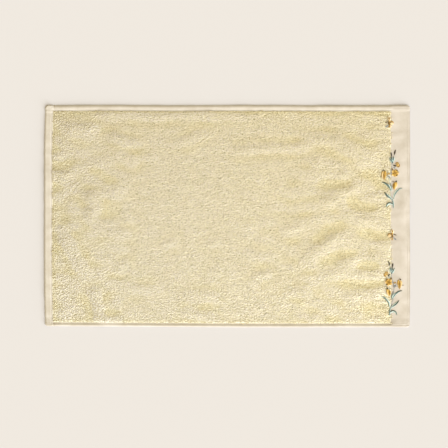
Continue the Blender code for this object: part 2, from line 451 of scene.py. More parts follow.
def tube_map(tubes, rings, sides, capped):
    """Every tube has one cell of a square map, with its faces side by side in the cell."""
    ring, side = np.meshgrid(np.arange(rings - 1), np.arange(sides), indexing="ij")
    u = np.stack([ring, ring, ring + 1, ring + 1], axis=-1).reshape(-1, 4) / (rings - 1)
    v = np.stack([side, side + 1, side + 1, side], axis=-1).reshape(-1, 4) / (sides + 1)
    if capped:
        square = np.array([[0.0, 0.4, 0.4, 0.0]])
        lift = np.array([[0.0, 0.0, 1.0, 1.0]]) / (sides + 1) * 0.8 + sides / (sides + 1) + 0.02
        u = np.concatenate([u, square, square + 0.5])
        v = np.concatenate([v, lift, lift])
    cells = int(np.ceil(np.sqrt(tubes)))
    column, row = np.arange(tubes) % cells, np.arange(tubes) // cells
    shrink = 1 - 2 * CELL_MARGIN
    u_all = (column[:, None, None] + CELL_MARGIN + u[None] * shrink) / cells
    v_all = (row[:, None, None] + CELL_MARGIN + v[None] * shrink) / cells
    return np.stack([u_all, v_all], axis=-1).reshape(-1, 2)


def tubes_object(name, lines, radii, sides, across=None, capped=False):
    tubes, rings = lines.shape[:2]
    points = tube_points(lines, radii, sides, across).reshape(-1, 3)
    faces = tube_faces(tubes, rings, sides, capped)
    return mesh_object(name, points, faces, tube_map(tubes, rings, sides, capped))


def triangles(piece):
    return sum(len(face.vertices) - 2 for face in piece.data.polygons)


# %% [markdown]
# ## Material helpers
#
# Each finish is a node tree on a Principled shader. These helpers add a node with its values in
# one line, so that the steps of each finish stay readable.

# %% Node helpers
COTTON_SPECULAR = 0.25
SHEEN_ROUGHNESS = 0.6


def new_material(name, roughness, sheen=0.0):
    material = bpy.data.materials.new(name)
    material.use_nodes = True
    shader = material.node_tree.nodes["Principled BSDF"]
    shader.inputs["Roughness"].default_value = roughness
    shader.inputs["Specular IOR Level"].default_value = COTTON_SPECULAR
    shader.inputs["Sheen Weight"].default_value = sheen
    shader.inputs["Sheen Roughness"].default_value = SHEEN_ROUGHNESS
    return material, material.node_tree, shader


def add(tree, kind, values=None, **settings):
    node = tree.nodes.new(kind)
    for key, value in settings.items():
        setattr(node, key, value)
    for key, value in (values or {}).items():
        node.inputs[key].default_value = value
    return node


def object_place(tree):
    """The place of a point on the piece, in metres, which stays put as the camera moves."""
    return add(tree, "ShaderNodeTexCoord").outputs["Object"]


def noise(tree, place, scale, detail=2.0):
    node = add(tree, "ShaderNodeTexNoise", {"Scale": scale, "Detail": detail, "Roughness": 0.55})
    tree.links.new(place, node.inputs["Vector"])
    return node.outputs["Fac"]


def ramp(tree, factor, *stops):
    """Colours at places from 0 to 1."""
    node = add(tree, "ShaderNodeValToRGB")
    elements = node.color_ramp.elements
    while len(elements) < len(stops):
        elements.new(0.5)
    for element, (place, colour) in zip(elements, stops):
        element.position = place
        element.color = (*colour, 1.0)
    tree.links.new(factor, node.inputs["Fac"])
    return node.outputs["Color"]


def blend_colours(tree, factor, one, other, mode="MIX"):
    node = add(tree, "ShaderNodeMix", data_type="RGBA", blend_type=mode)
    for socket, value in ((node.inputs["Factor"], factor), (node.inputs[6], one), (node.inputs[7], other)):
        if hasattr(value, "is_linked"):
            tree.links.new(value, socket)
        else:
            socket.default_value = value if isinstance(value, float) else (*value, 1.0)
    return node.outputs[2]


def bump(tree, shader, height, distance, strength=1.0):
    node = add(tree, "ShaderNodeBump", {"Distance": distance, "Strength": strength})
    tree.links.new(height, node.inputs["Height"])
    tree.links.new(node.outputs["Normal"], shader.inputs["Normal"])


# %% [markdown]
# ## The ground cloth
#
# One closed sheet follows the folds. Its grid lines are close together at the hems, where the
# profile turns quickly, and far apart in the field, where the loops will hide it.

# %% Grid lines along and across
AT_THE_FOLD = [0.0, 0.12, 0.3, 0.6, 1.0, 1.5]
HEM_STEP = 0.6
PAST_THE_HEM = 2.4


def hem_lines(width):
    start = AT_THE_FOLD[-1] + HEM_STEP
    return AT_THE_FOLD + list(np.arange(start, width + PAST_THE_HEM, HEM_STEP))


def grid_lines(low, high, low_width, high_width, step):
    """Close lines near both ends, even ones between."""
    low_part, high_part = hem_lines(low_width), hem_lines(high_width)
    start, end = low + low_part[-1], high - high_part[-1]
    field = np.linspace(start, end, int(round((end - start) / step)) + 1)[1:-1]
    return np.concatenate([low + np.array(low_part), field, (high - np.array(high_part))[::-1]])


FIELD_STEP = 3.2
BAND_EDGE_LINES = PILE_RIGHT + np.array([-1.8, -0.9, -0.3, 0.3, 0.9])
BAND_EDGE_REACH = 2.2
columns = grid_lines(LEFT, RIGHT, END_HEM, BAND_HEM, FIELD_STEP)
columns = columns[np.abs(columns - PILE_RIGHT) > BAND_EDGE_REACH]
columns = np.sort(np.concatenate([columns, BAND_EDGE_LINES]))
rows = grid_lines(NEAR, FAR, NEAR_HEM, FAR_HEM, FIELD_STEP)
print("grid:", len(columns), "columns and", len(rows), "rows")

# %% Build the sheet
UNDER_SIZE = 3.4
UNDER_HIGH = 0.16


def sheet_points(columns, rows):
    a, b = np.meshgrid(columns, rows, indexing="ij")
    x, y = outline(a, b)
    upper, under = cloth_faces(a, b)
    height = rise(x, y)
    in_pile = (a > PILE_LEFT) & (a < PILE_RIGHT) & (b > PILE_NEAR) & (b < PILE_FAR)
    loops_below = np.abs(soft_waves(x, y, UNDER_SIZE, seed=8)) * UNDER_HIGH * in_pile
    top = np.stack([x - MIDDLE_X, y - MIDDLE_Y, height + upper], axis=-1)
    bottom = np.stack([x - MIDDLE_X, y - MIDDLE_Y, height + under + loops_below], axis=-1)
    return np.concatenate([top.reshape(-1, 3), bottom.reshape(-1, 3)]) * MM


def sheet_faces(across, along):
    """Upper face, underside and the narrow rim between them."""
    index = np.arange(across * along).reshape(across, along)
    upper = np.stack([index[:-1, :-1], index[1:, :-1], index[1:, 1:], index[:-1, 1:]], axis=-1)
    upper = upper.reshape(-1, 4)
    under = upper[:, ::-1] + across * along
    ring = np.concatenate([index[:-1, 0], index[-1, :-1], index[:0:-1, -1], index[0, :0:-1]])
    following = np.roll(ring, -1)
    rim = np.stack([ring, ring + across * along, following + across * along, following], axis=-1)
    return np.concatenate([upper, under, rim])


def sheet_map(points, faces):
    """Upper face on one half of the map and underside on the other."""
    share_x = (points[:, 0] / MM + LENGTH * 0.52) / (LENGTH * 1.04)
    share_y = (points[:, 1] / MM + WIDTH * 0.52) / (WIDTH * 1.04)
    below = np.arange(len(points)) >= len(points) // 2
    corners = np.stack([share_x, share_y * 0.49 + below * 0.505], axis=-1)[faces]
    return corners.reshape(-1, 2)


points = sheet_points(columns, rows)
faces = sheet_faces(len(columns), len(rows))
ground_cloth = mesh_object("ground_cloth", points, faces, sheet_map(points, faces))
print("ground cloth:", triangles(ground_cloth), "triangles")

# %% [markdown]
# ## Finishes of the ground cloth
#
# Three finishes meet on the sheet. The bed of the pile is pale yellow, and it shows only between the loops,
# where the yarns rise out of the weave. Dark pits of painted shade are put on it for the shade deep between
# the loops. Its yellow is also painted darker towards the left end and the far edge, as a painted light
# falloff. The hems and the band are cream. The band is a fine close weave, and the hems are the same weave,
# seen folded. Both are a little cloudy, as washed cotton is.

# %% Cream and yellow finishes
WHITE = (1.0, 1.0, 1.0)
CREAM_LIGHT = (0.578, 0.501, 0.424)
CREAM_DEEP = (0.51, 0.436, 0.354)
HEM_LIGHT = (0.575, 0.505, 0.42)
HEM_DEEP = (0.51, 0.437, 0.345)
BED_LIGHT = (0.88, 0.80, 0.58)
# Painted shade: the colour of the dark pits on the bed, standing for the shade deep between the loops
BED_PIT_SHADE = (0.36, 0.305, 0.13)
# Painted light falloff: how much darker the yellow is painted at the left end and at the far edge
FALLOFF_LEFT = (0.87, 0.87, 0.90)
FALLOFF_FAR = (0.89, 0.863, 0.80)
WEAVE_PITCH = 0.00055
CLOUD_SCALE = 90.0
GRAIN_SCALE = 700.0


def weave_height(tree, place):
    """Ribs one way and picks the other, as a plain weave shows them."""
    values = {"Scale": 1 / WEAVE_PITCH / (2 * pi), "Distortion": 0.6, "Detail": 1.0}
    both = add(tree, "ShaderNodeMath", operation="MULTIPLY")
    for way, socket in zip("YX", both.inputs):
        ribs = add(tree, "ShaderNodeTexWave", values, bands_direction=way)
        tree.links.new(place, ribs.inputs["Vector"])
        tree.links.new(ribs.outputs["Fac"], socket)
    return both.outputs["Value"]


def cream_weave(name, light, deep):
    material, tree, shader = new_material(name, 0.85, sheen=0.15)
    place = object_place(tree)
    cloudy = ramp(tree, noise(tree, place, CLOUD_SCALE), (0.30, deep), (0.70, light))
    tree.links.new(cloudy, shader.inputs["Base Color"])
    bump(tree, shader, weave_height(tree, place), 0.0002, 0.7)
    return material


def painted_falloff(tree, place, colour):
    """Painted light falloff: the colour is painted darker towards the far edge and the left end, darkest at
    both.
    """
    split = add(tree, "ShaderNodeSeparateXYZ")
    tree.links.new(place, split.inputs["Vector"])
    ends = (("X", LENGTH / 2, 0.0, FALLOFF_LEFT), ("Y", WIDTH / 2, 1.0, FALLOFF_FAR))
    for axis, reach, deep, full in ends:
        share = add(tree, "ShaderNodeMapRange", {"From Min": -reach * MM, "From Max": reach * MM})
        tree.links.new(split.outputs[axis], share.inputs["Value"])
        stops = sorted([(deep, full), (1.0 - deep, WHITE)])
        colour = blend_colours(tree, 1.0, colour, ramp(tree, share.outputs["Result"], *stops), "MULTIPLY")
    return colour


def pile_bed():
    material, tree, shader = new_material("pile bed", 0.95, sheen=0.1)
    place = object_place(tree)
    grain = noise(tree, place, GRAIN_SCALE, 3.0)
    # Dark pits of painted shade, where shade falls deep between the loops
    bed = ramp(tree, grain, (0.36, BED_PIT_SHADE), (0.47, BED_LIGHT))
    # The bed also gets the painted light falloff, darker towards the left end and the far edge
    tree.links.new(painted_falloff(tree, place, bed), shader.inputs["Base Color"])
    bump(tree, shader, grain, 0.0012, 1.0)
    return material


ZONES = ("pile bed", "hem cloth", "woven band")
BAND_FINISH_STARTS = 2.0
ground_cloth.data.materials.append(pile_bed())
ground_cloth.data.materials.append(cream_weave("hem cloth", HEM_LIGHT, HEM_DEEP))
ground_cloth.data.materials.append(cream_weave("woven band", CREAM_LIGHT, CREAM_DEEP))


def zone_of_faces(columns, rows):
    a = (columns[:-1] + columns[1:]) / 2
    b = (rows[:-1] + rows[1:]) / 2
    a, b = np.meshgrid(a, b, indexing="ij")
    hem = (a < PILE_LEFT) | (b < PILE_NEAR) | (b > PILE_FAR)
    zone = np.where(a > PILE_RIGHT - BAND_FINISH_STARTS, 2, np.where(hem, 1, 0)).reshape(-1)
    rim = np.ones(2 * (len(columns) + len(rows)) - 4, int)
    return np.concatenate([zone, zone, rim])


ground_cloth.data.polygons.foreach_set("material_index", zone_of_faces(columns, rows).astype(np.int32))
ground_cloth.data.update()
print("finishes on the sheet:", ", ".join(ZONES))

# %% [markdown]
# ## Embroidery
#
# The sprigs are satin stitch: each petal and leaf is filled with threads laid side by side
# across it. So a shape here is not a painted patch. It is a midline with a width at every place
# along it, and a loop lays one real thread across the midline every 0.4 mm. The thread changes
# shade along a petal and from one side of a leaf to the other, as a dyed-in-steps thread does.

# %% Threads and the shapes they fill
THREAD_PITCH = 0.42
THREAD_THICK = 0.50
THREAD_RINGS = 5
OVER_BAND = 0.20
OVER_PILE = 1.35
LOOK_ALONG = 0.02
ROUNDNESS = 0.7
NARROWEST = 0.18
STEM_OVERLAP = 0.12
STEM_PUFF = 0.18
Thread = namedtuple("Thread", "start end puff tone far_tone")
threads = {"gold": [], "teal": [], "brown": [], "grey": []}


def curve_point(points, share):
    """A place on the smooth curve through a few points. share runs from 0 to 1 along it."""
    points = np.asarray(points, float)
    padded = np.concatenate([[2 * points[0] - points[1]], points, [2 * points[-1] - points[-2]]])
    spot = min(share, 0.99999) * (len(points) - 1)
    i, t = int(spot), spot - int(spot)
    p0, p1, p2, p3 = padded[i:i + 4]
    slope = p2 - p0
    bend = 2 * p0 - 5 * p1 + 4 * p2 - p3
    twist = 3 * p1 - p0 - 3 * p2 + p3
    return 0.5 * (2 * p1 + slope * t + bend * t**2 + twist * t**3)


def curve_length(points):
    places = np.array([curve_point(points, share) for share in np.linspace(0, 1, 25)])
    return np.linalg.norm(np.diff(places, axis=0), axis=1).sum()


def satin(colour, midline, widest, full=0.5, tones=(0.5, 0.5), edge=0.0, slant=20.0, puff=0.35):
    """Fill a leaf or petal with threads across its midline. full is where it is widest, and edge
    is how much lighter the thread ends on one side than on the other."""
    count = max(4, int(curve_length(midline) / THREAD_PITCH))
    for share in (np.arange(count) + 0.5) / count:
        ahead, behind = min(share + LOOK_ALONG, 1.0), max(share - LOOK_ALONG, 0.0)
        x, y = unit(curve_point(midline, ahead) - curve_point(midline, behind))
        turn = radians(90.0 - slant)
        across = np.array([x * cos(turn) - y * sin(turn), x * sin(turn) + y * cos(turn)])
        swell = sin(pi * share ** (np.log(0.5) / np.log(full))) ** ROUNDNESS
        half = widest / 2 * max(swell, NARROWEST)
        tone = tones[0] + (tones[1] - tones[0]) * share
        here = curve_point(midline, share)
        ends = (here - across * half, here + across * half)
        threads[colour].append(Thread(*ends, puff, tone - edge / 2, tone + edge / 2))


def running(colour, line, tone=0.5, stitch=2.2, twist=0.12):
    """A stem: short stitches end to end, each leaning a little, like rope."""
    count = max(1, int(round(curve_length(line) / stitch)))
    for index in range(count):
        start = curve_point(line, index / count)
        end = curve_point(line, min(1.0, (index + 1 + STEM_OVERLAP) / count))
        side = np.array([start[1] - end[1], end[0] - start[0]]) * twist * 0.5
        threads[colour].append(Thread(start + side, end - side, STEM_PUFF, tone, tone))


# %% [markdown]
# A sprig is laid out in millimetres from its foot: how far to the side, and how far up. The
# second sprig and the second bee are the same designs turned over left to right, as an
# embroidery machine stitches a mirrored pattern. Each design is stitched in layers: leaves
# before their veins, and a bee's wings before its body.

# %% The strokes of a sprig and of a bee
Stroke = namedtuple("Stroke", "name colour line widest tones full edge", defaults=(0.5, 0.0))

LEAVES = (
    Stroke("stem foot", "teal", ((-0.2, -0.8), (-0.6, 5.0), (-1.0, 11.0)), 3.0, (0.75, 0.85)),
    Stroke(
        "upper left leaf", "teal", ((-3.0, 22.6), (-5.0, 27.4), (-8.6, 31.0), (-14.0, 33.6)),
        4.0, (0.8, 0.7), 0.42, -0.2,
    ),
    Stroke(
        "lower left leaf", "teal", ((-1.4, 9.6), (-5.0, 13.4), (-9.0, 16.6), (-12.4, 20.4)),
        4.0, (0.85, 0.85),
    ),
    Stroke(
        "right leaf", "teal", ((-0.4, 10.6), (0.6, 17.4), (3.8, 22.8), (8.8, 26.6)),
        3.2, (0.95, 0.95), 0.45,
    ),
    Stroke("curl", "teal", ((-1.0, 3.6), (-4.8, 5.2), (-8.0, 4.2), (-9.6, 1.0)), 2.8, (0.9, 0.8), 0.45),
    Stroke("under the bud", "grey", ((-0.6, 55.0), (2.2, 53.6)), 1.8, (0.3, 0.6)),
    Stroke("feeler", "brown", ((-20.0, 42.4), (-16.4, 42.6)), 0.8, (0.9, 0.7)),
)
VEINS = (
    Stroke("stem", "teal", ((-0.1, -0.6), (-0.6, 5.6), (-1.2, 10.4)), 1.8, (0.25, 0.3)),
    Stroke(
        "upper left vein", "teal", ((-3.6, 23.0), (-5.8, 27.0), (-8.8, 31.0), (-12.6, 33.8), (-17.0, 35.0)),
        2.3, (0.3, 0.0), 0.6,
    ),
    Stroke("its far edge", "teal", ((-2.8, 24.0), (-3.2, 28.4), (-4.8, 33.4)), 0.9, (0.4, 0.3)),
    Stroke(
        "lower left vein", "teal", ((-1.4, 10.0), (-5.4, 13.2), (-9.6, 16.6), (-13.0, 21.2)),
        2.4, (0.25, 0.0), 0.6,
    ),
    Stroke(
        "right vein", "teal", ((0.2, 11.4), (1.2, 17.0), (4.0, 21.6), (8.0, 25.6), (11.8, 26.2)),
        2.0, (0.35, 0.4),
    ),
    Stroke(
        "curl vein", "teal", ((-1.0, 4.8), (-4.4, 6.4), (-7.8, 5.6), (-9.8, 3.2), (-10.4, 0.2)),
        1.8, (0.0, 0.4), 0.3,
    ),
    Stroke("bud cup", "brown", ((-0.8, 58.0), (3.0, 56.2)), 2.4, (0.0, 0.2)),
    Stroke(
        "foot of the small bud", "grey", ((-9.4, 43.6), (-7.4, 41.8), (-4.6, 41.2)),
        1.3, (0.2, 0.0), 0.6,
    ),
)
SPRAY = (
    Stroke("left leaflet", "teal", ((-2.4, 60.8), (-4.6, 64.0), (-6.0, 67.6)), 2.6, (0.6, 0.85)),
    Stroke("middle leaflet", "teal", ((-2.4, 61.6), (-3.0, 69.4)), 2.2, (0.7, 0.6)),
    Stroke("right leaflet", "teal", ((-2.0, 61.0), (-0.4, 65.0), (0.4, 68.6)), 2.6, (0.6, 0.85)),
)
SPRAY_VEINS = (
    Stroke("foot", "teal", ((-2.2, 60.2), (-2.2, 63.0)), 1.8, (0.0, 0.1)),
    Stroke("left vein", "teal", ((-2.6, 62.4), (-4.4, 64.6), (-6.4, 68.4)), 1.5, (0.0, 0.4), 0.4),
    Stroke("middle vein", "teal", ((-2.8, 65.4), (-3.4, 67.4), (-3.2, 70.4)), 1.5, (0.1, 0.0)),
    Stroke("right vein", "teal", ((-1.4, 64.2), (-0.8, 66.6), (-0.4, 69.4)), 1.5, (0.2, 0.0)),
    Stroke("short tip", "brown", ((-3.4, 70.2), (-4.2, 75.4)), 2.2, (0.0, 0.2)),
    Stroke("long tip", "brown", ((0.4, 72.0), (1.2, 75.6), (2.6, 79.0)), 2.4, (0.1, 0.5)),
)
BLOSSOMS = (
    Stroke(
        "side bell, outer lobe", "gold", ((-14.6, 50.0), (-16.0, 45.0), (-14.8, 38.0)),
        2.8, (0.7, 1.0), 0.45, 0.2,
    ),
    Stroke(
        "side bell, inner lobe", "gold", ((-12.6, 50.4), (-11.4, 46.0), (-12.2, 38.6)),
        2.8, (0.35, 0.8), 0.40, -0.2,
    ),
    Stroke(
        "side bell, heart", "gold", ((-13.6, 48.4), (-13.8, 43.0), (-13.2, 36.6)),
        3.2, (0.45, 0.4), 0.45,
    ),
    Stroke("bud, heart", "gold", ((2.8, 56.6), (5.2, 58.2), (7.2, 58.8)), 3.6, (0.55, 0.8)),
    Stroke("bud, upper edge", "gold", ((1.8, 58.8), (3.8, 61.0), (6.8, 60.6)), 2.2, (0.3, 0.5)),
    Stroke("bud, lower edge", "gold", ((4.4, 55.4), (7.0, 56.0), (8.0, 58.8)), 1.8, (0.35, 0.3)),
    Stroke("small bud, heart", "grey", ((-8.2, 43.8), (-5.8, 44.2)), 2.2, (1.0, 1.0)),
    Stroke("small bud, edge", "gold", ((-9.4, 44.6), (-7.4, 46.8), (-5.0, 45.0)), 1.6, (0.35, 0.5)),
)
DARK_TOUCHES = (
    Stroke("side bell, middle", "gold", ((-13.8, 46.8), (-13.5, 40.0)), 2.6, (0.12, 0.3)),
    Stroke("side bell, cup", "brown", ((-15.8, 50.2), (-13.4, 51.4)), 2.0, (0.4, 0.6)),
    Stroke("flower, first touch", "gold", ((-2.6, 53.6), (-1.6, 50.2)), 2.3, (0.0, 0.0)),
    Stroke("flower, second touch", "gold", ((2.2, 51.8), (5.2, 49.8)), 2.3, (0.0, 0.0)),
    Stroke("flower, third touch", "gold", ((2.6, 43.2), (5.2, 44.4)), 2.0, (0.0, 0.0)),
    Stroke("flower, eye", "gold", ((-0.8, 45.2), (1.0, 48.2)), 2.4, (0.15, 0.3)),
)
LOW_BELL = (
    Stroke("outer lobe", "gold", ((4.0, 34.8), (3.4, 29.8), (1.6, 25.2)), 3.0, (0.65, 0.9), 0.42, 0.2),
    Stroke("inner lobe", "gold", ((1.2, 34.0), (-0.4, 29.6), (0.4, 24.6)), 3.0, (0.45, 0.55), 0.45, -0.2),
    Stroke("middle lobe", "gold", ((2.4, 35.0), (1.6, 30.0), (1.0, 24.0)), 3.4, (0.55, 0.7), 0.45),
    Stroke("cup", "brown", ((2.0, 35.2), (4.4, 36.2)), 2.2, (0.2, 0.3)),
    Stroke("arm", "brown", ((-2.2, 35.4), (0.8, 34.8)), 1.2, (0.8, 0.4), 0.6),
)
LOW_BELL_MIDDLE = (Stroke("dark middle", "gold", ((0.5, 32.4), (0.1, 26.6)), 2.8, (0.0, 0.2)),)
STEMS = (
    (
        (-0.2, 8.0), (-2.4, 14.0), (-4.4, 21.0), (-5.4, 31.0), (-6.0, 39.4),
        (-4.8, 46.6), (-2.8, 53.6), (-2.4, 60.0), (-2.0, 66.0),
    ),
    ((-6.0, 39.0), (-8.4, 41.0), (-10.8, 40.8)),
    ((-4.8, 46.0), (-2.6, 47.4), (-0.8, 47.0)),
    ((-2.0, 66.0), (-1.0, 69.0), (0.8, 71.4)),
)
BEE_WINGS = (
    Stroke("far wing", "grey", ((-1.4, -2.0), (-5.2, -5.6)), 1.8, (0.5, 0.15), 0.6),
    Stroke("small wing", "brown", ((-1.4, 2.6), (-6.0, 0.6)), 1.8, (0.6, 0.9)),
    Stroke("shoulders", "gold", ((0.0, 2.8), (0.0, 8.8)), 5.4, (1.0, 1.0)),
    Stroke("upper wing", "gold", ((1.0, 0.2), (6.2, 0.0)), 5.2, (0.85, 0.95), 0.6),
    Stroke("lower wing", "gold", ((0.8, -2.4), (3.6, -5.2)), 2.6, (0.9, 1.0), 0.62),
)
BEE_BODY = (
    Stroke("tail", "gold", ((0.2, -2.0), (0.5, -6.0)), 2.4, (0.15, 0.4)),
    Stroke("edge of the wing", "gold", ((0.8, 1.6), (2.8, 3.0), (5.2, 2.4), (6.4, 0.4)), 1.3, (0.2, 0.45)),
    Stroke("neck", "gold", ((0.0, 1.2), (0.0, 5.0)), 2.4, (0.3, 0.5)),
    Stroke("dark middle", "gold", ((0.1, -2.4), (0.0, 2.0)), 3.6, (0.0, 0.0)),
    Stroke("head", "gold", ((0.0, 5.0), (0.1, 8.0)), 3.2, (0.05, 0.1)),
)


def placed(foot, flip, line, stretch=1.0):
    """Sprig measure to cloth measure."""
    return [np.array([foot[0] + flip * point[0], foot[1] + stretch * point[1]]) for point in line]


def stitch_strokes(strokes, foot, flip, stretch=1.0, puff=0.4):
    for stroke in strokes:
        line = placed(foot, flip, stroke.line, stretch)
        satin(stroke.colour, line, stroke.widest, stroke.full, stroke.tones, stroke.edge * flip, puff=puff)


FLOWER_CENTRE = np.array([1.6, 47.0])
FLOWER_SIZE = 10.8
PETALS = 5
FIRST_PETAL = 70.0
PETAL_PLACES = (0.04, 0.28, 0.54)
PETAL_WIDE = 0.48
PETAL_FULL = 0.6
PETAL_HEART = 0.25
PETAL_TIP = 1.0
SUNNY_SIDE = 0.1


def flower(foot, flip, stretch):
    """An open flower: a ring of round petals, darker towards the middle."""
    for number in range(PETALS):
        turn = radians(FIRST_PETAL + 360.0 * number / PETALS)
        reach = np.array([cos(turn), sin(turn)]) * FLOWER_SIZE
        line = placed(foot, flip, [FLOWER_CENTRE + reach * place for place in PETAL_PLACES], stretch)
        tones = (PETAL_HEART, PETAL_TIP + SUNNY_SIDE * cos(turn))
        satin("gold", line, FLOWER_SIZE * PETAL_WIDE, PETAL_FULL, tones, edge=0.2, slant=8.0, puff=0.4)


def sprig(foot, flip, stretch, lean, rise_of_spray, bell_lift, stem_tone):
    """One sprig on its foot. lean moves the spray at its top outwards, rise_of_spray moves it up,
    and bell_lift moves the low bell up. Later strokes puff up more, so they lie on the earlier."""
    for line in STEMS:
        running("grey", placed(foot, flip, line, stretch), tone=stem_tone)
    flower(foot, flip, stretch)
    stitch_strokes(LEAVES, foot, flip, stretch, puff=0.25)
    stitch_strokes(VEINS, foot, flip, stretch, puff=0.55)
    stitch_strokes(BLOSSOMS, foot, flip, stretch, puff=0.45)
    stitch_strokes(DARK_TOUCHES, foot, flip, stretch, puff=0.75)
    bell_foot = (foot[0], foot[1] + bell_lift)
    stitch_strokes(LOW_BELL, bell_foot, flip, stretch, puff=0.5)
    stitch_strokes(LOW_BELL_MIDDLE, bell_foot, flip, stretch, puff=1.3)
    top = (foot[0] + flip * lean, foot[1] + rise_of_spray)
    stitch_strokes(SPRAY, top, flip, stretch, puff=0.25)
    stitch_strokes(SPRAY_VEINS, top, flip, stretch, puff=0.6)


Sprig = namedtuple("Sprig", "foot flip stretch lean rise_of_spray bell_lift stem_tone")
SPRIGS = (
    Sprig((227.8, 12.1), 1, 1.0, 0.0, 0.0, 0.0, 0.6),
    Sprig((221.7, -135.3), -1, 0.965, -0.6, -1.6, 2.4, 0.25),
)
BEES = (((221.3, 127.0), 1), ((225.8, -26.7), -1))
for design in SPRIGS:
    sprig(*design)
for centre, flip in BEES:
    stitch_strokes(BEE_WINGS, centre, flip, puff=0.35)
    stitch_strokes(BEE_BODY, centre, flip, puff=0.85)
print("embroidery threads:", {colour: len(made) for colour, made in threads.items()})

# %% [markdown]
# The threads lie on two grounds: the flat band, and the pile, which they press down. Each thread
# bows up a little in the middle and dives into the cloth at both ends.

# %% Lay the threads as tubes
ARCH = np.sin(np.linspace(0, pi, THREAD_RINGS))
THREAD_TAPER = np.array([0.45, 1.0, 1.05, 1.0, 0.45])
THREAD_SIDES = 4
THREAD_SUNK = 0.15


def over_ground(a):
    """How far a thread stands over the cloth's bed: more on pile than on the band."""
    edge = [PILE_RIGHT - BAND_BLEND, PILE_RIGHT + BAND_BLEND]
    return np.interp(a, edge, [OVER_PILE, OVER_BAND]) - THREAD_SUNK


def lay_threads(name, made, thick=THREAD_THICK, stands=over_ground):
    starts = np.array([thread.start for thread in made])
    ends = np.array([thread.end for thread in made])
    puffs = np.array([thread.puff for thread in made])
    shares = np.linspace(0, 1, THREAD_RINGS)[None, :, None]
    flat = starts[:, None, :] * (1 - shares) + ends[:, None, :] * shares
    above = stands(flat[..., 0]) + puffs[:, None] * ARCH
    lines = lay(flat[..., 0], flat[..., 1], above)
    radii = np.broadcast_to(THREAD_TAPER * thick / 2 * MM, lines.shape[:2])
    piece = tubes_object(name, lines, radii, THREAD_SIDES, capped=True)
    near_tones = np.array([thread.tone for thread in made])[:, None]
    far_tones = np.array([thread.far_tone for thread in made])[:, None]
    tones = near_tones + (far_tones - near_tones) * shares[..., 0]
    give_points(piece, "tone", np.repeat(np.clip(tones, 0, 1).ravel(), THREAD_SIDES))
    print(name, triangles(piece), "triangles")
    return piece


def thread_finish(name, shades, roughness=0.5):
    """Shiny embroidery thread, dyed in even steps from a deep shade to a light one."""
    material, tree, shader = new_material(name, roughness, sheen=0.05)
    tone = add(tree, "ShaderNodeAttribute", attribute_name="tone")
    place = object_place(tree)
    colour = ramp(tree, tone.outputs["Fac"], *zip(np.linspace(0, 1, len(shades)), shades))
    uneven = ramp(tree, noise(tree, place, GRAIN_SCALE), (0.3, (0.86, 0.86, 0.86)), (0.7, WHITE))
    tree.links.new(blend_colours(tree, 1.0, colour, uneven, "MULTIPLY"), shader.inputs["Base Color"])
    return material


ThreadDye = namedtuple("ThreadDye", "piece slot shades")
GOLD_SHADES = ((0.23, 0.115, 0.006), (0.47, 0.255, 0.035), (0.74, 0.47, 0.11), (0.90, 0.72, 0.46))
TEAL_SHADES = ((0.04, 0.055, 0.035), (0.15, 0.225, 0.205), (0.44, 0.54, 0.48), (0.76, 0.79, 0.68))
BROWN_SHADES = ((0.03, 0.022, 0.012), (0.13, 0.09, 0.05), (0.38, 0.29, 0.17))
GREY_SHADES = ((0.14, 0.15, 0.17), (0.38, 0.40, 0.42), (0.66, 0.66, 0.64))
THREAD_DYES = {
    "gold": ThreadDye("flower_threads", "gold_thread", GOLD_SHADES),
    "teal": ThreadDye("leaf_threads", "teal_thread", TEAL_SHADES),
    "brown": ThreadDye("centre_threads", "brown_thread", BROWN_SHADES),
    "grey": ThreadDye("stem_threads", "grey_thread", GREY_SHADES),
}
embroidery = {}
for colour, dye in THREAD_DYES.items():
    embroidery[colour] = lay_threads(dye.piece, threads[colour])
    finish = thread_finish(dye.slot.replace("_", " "), dye.shades)
    embroidery[colour].data.materials.append(finish)

# %% [markdown]
# ## The pile
#
# Each loop is an arch of soft yarn a little over a millimetre high. In a washed towel the arches
# lean over in little tufts, which is what gives terry its wormy grain, so neighbours share a
# lean and every loop adds some of its own. A hand has stroked some patches flatter than others.
# Towards the band the pile lies in faint level streaks, and right beside it the loops are lower
# and calmer. No loop is made under the embroidery.

# %% Where the loops stand
LOOP_PITCH_ALONG = 2.36
LOOP_PITCH_ACROSS = 1.80
STRAY_ALONG = 0.34
STRAY_ACROSS = 0.30
EDGE_WAVER = 0.5
EDGE_WAVER_SIZE = 18.0
BAND_WAVER = 1.1
BAND_WAVER_SIZE = 7.0
CLEAR_OF_THREADS = 1.5
NEAR_THE_BAND = 5.0


def loop_feet():
    along = np.arange(PILE_LEFT + 0.8, PILE_RIGHT - 0.4, LOOP_PITCH_ALONG)
    across = np.arange(PILE_NEAR + 0.6, PILE_FAR - 0.4, LOOP_PITCH_ACROSS)
    a, b = np.meshgrid(along, across, indexing="ij")
    b = b + (np.arange(len(along)) % 2)[:, None] * LOOP_PITCH_ACROSS / 2
    dice = np.random.default_rng(21)
    a = a + dice.normal(0, STRAY_ALONG, a.shape)
    b = b + dice.normal(0, STRAY_ACROSS, b.shape)
    waver = EDGE_WAVER * soft_waves(a, b, EDGE_WAVER_SIZE, seed=5)
    rows_end = PILE_RIGHT - 1.0 + BAND_WAVER * soft_waves(0 * a, b, BAND_WAVER_SIZE, seed=6)
    inside = (a < rows_end) & (b < PILE_FAR - 0.3 + waver) & (b > PILE_NEAR + 0.3 + waver)
    inside = inside & (a > PILE_LEFT + 0.5 + waver)
    return a[inside], b[inside]


